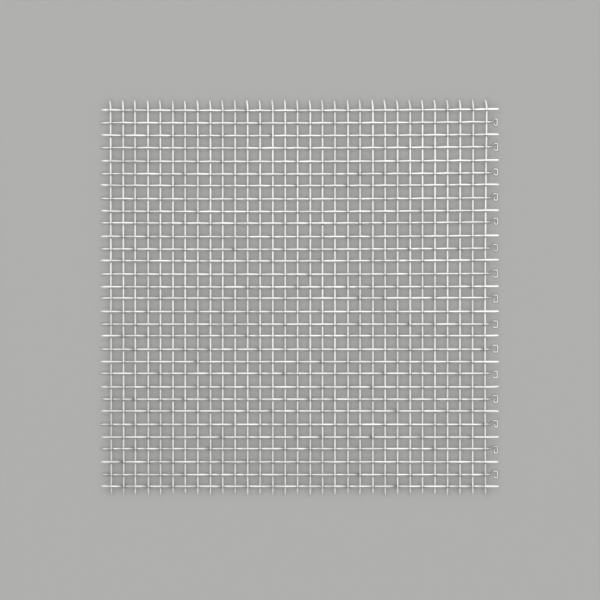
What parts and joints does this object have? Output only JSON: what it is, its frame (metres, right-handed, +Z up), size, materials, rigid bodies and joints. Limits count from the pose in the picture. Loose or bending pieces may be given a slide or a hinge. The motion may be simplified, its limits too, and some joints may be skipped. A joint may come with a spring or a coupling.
{
  "type": "wire gauze",
  "caption": "Square of plain-woven steel wire gauze for use over a burner, with open mesh, free wire ends on all sides and small turned-back hooks along one edge.",
  "frame": {"origin": "middle of the underside, on the plane that the gauze rests on", "axes": "+X along the weft wires towards the edge with the hooks, +Y along the warp wires, +Z up out of the cloth"},
  "size_m": [0.1014, 0.1006, 0.0015],
  "materials": {
    "weft_wire": "bright drawn steel wire, worn brightest on its crowns",
    "warp_wire": "bright drawn steel wire, a little duller than the weft"
  },
  "bodies": {
    "root": {"weft_wire_01": "weft_wire", "weft_wire_02": "weft_wire", "weft_wire_03": "weft_wire", "weft_wire_04": "weft_wire", "weft_wire_05": "weft_wire", "weft_wire_06": "weft_wire", "weft_wire_07": "weft_wire", "weft_wire_08": "weft_wire", "weft_wire_09": "weft_wire", "weft_wire_10": "weft_wire", "weft_wire_11": "weft_wire", "weft_wire_12": "weft_wire", "weft_wire_13": "weft_wire", "weft_wire_14": "weft_wire", "weft_wire_15": "weft_wire", "weft_wire_16": "weft_wire", "weft_wire_17": "weft_wire", "weft_wire_18": "weft_wire", "weft_wire_19": "weft_wire", "weft_wire_20": "weft_wire", "weft_wire_21": "weft_wire", "weft_wire_22": "weft_wire", "weft_wire_23": "weft_wire", "weft_wire_24": "weft_wire", "weft_wire_25": "weft_wire", "weft_wire_26": "weft_wire", "weft_wire_27": "weft_wire", "weft_wire_28": "weft_wire", "weft_wire_29": "weft_wire", "weft_wire_30": "weft_wire", "weft_wire_31": "weft_wire", "left_edge_wires": "warp_wire", "warp_wire_03": "warp_wire", "warp_wire_04": "warp_wire", "warp_wire_05": "warp_wire", "warp_wire_06": "warp_wire", "warp_wire_07": "warp_wire", "warp_wire_08": "warp_wire", "warp_wire_09": "warp_wire", "warp_wire_10": "warp_wire", "warp_wire_11": "warp_wire", "warp_wire_12": "warp_wire", "warp_wire_13": "warp_wire", "warp_wire_14": "warp_wire", "warp_wire_15": "warp_wire", "warp_wire_16": "warp_wire", "warp_wire_17": "warp_wire", "warp_wire_18": "warp_wire", "warp_wire_19": "warp_wire", "warp_wire_20": "warp_wire", "warp_wire_21": "warp_wire", "warp_wire_22": "warp_wire", "warp_wire_23": "warp_wire", "warp_wire_24": "warp_wire", "warp_wire_25": "warp_wire", "warp_wire_26": "warp_wire", "warp_wire_27": "warp_wire", "warp_wire_28": "warp_wire", "warp_wire_29": "warp_wire", "right_edge_wires": "warp_wire"}
  },
  "joints": []
}
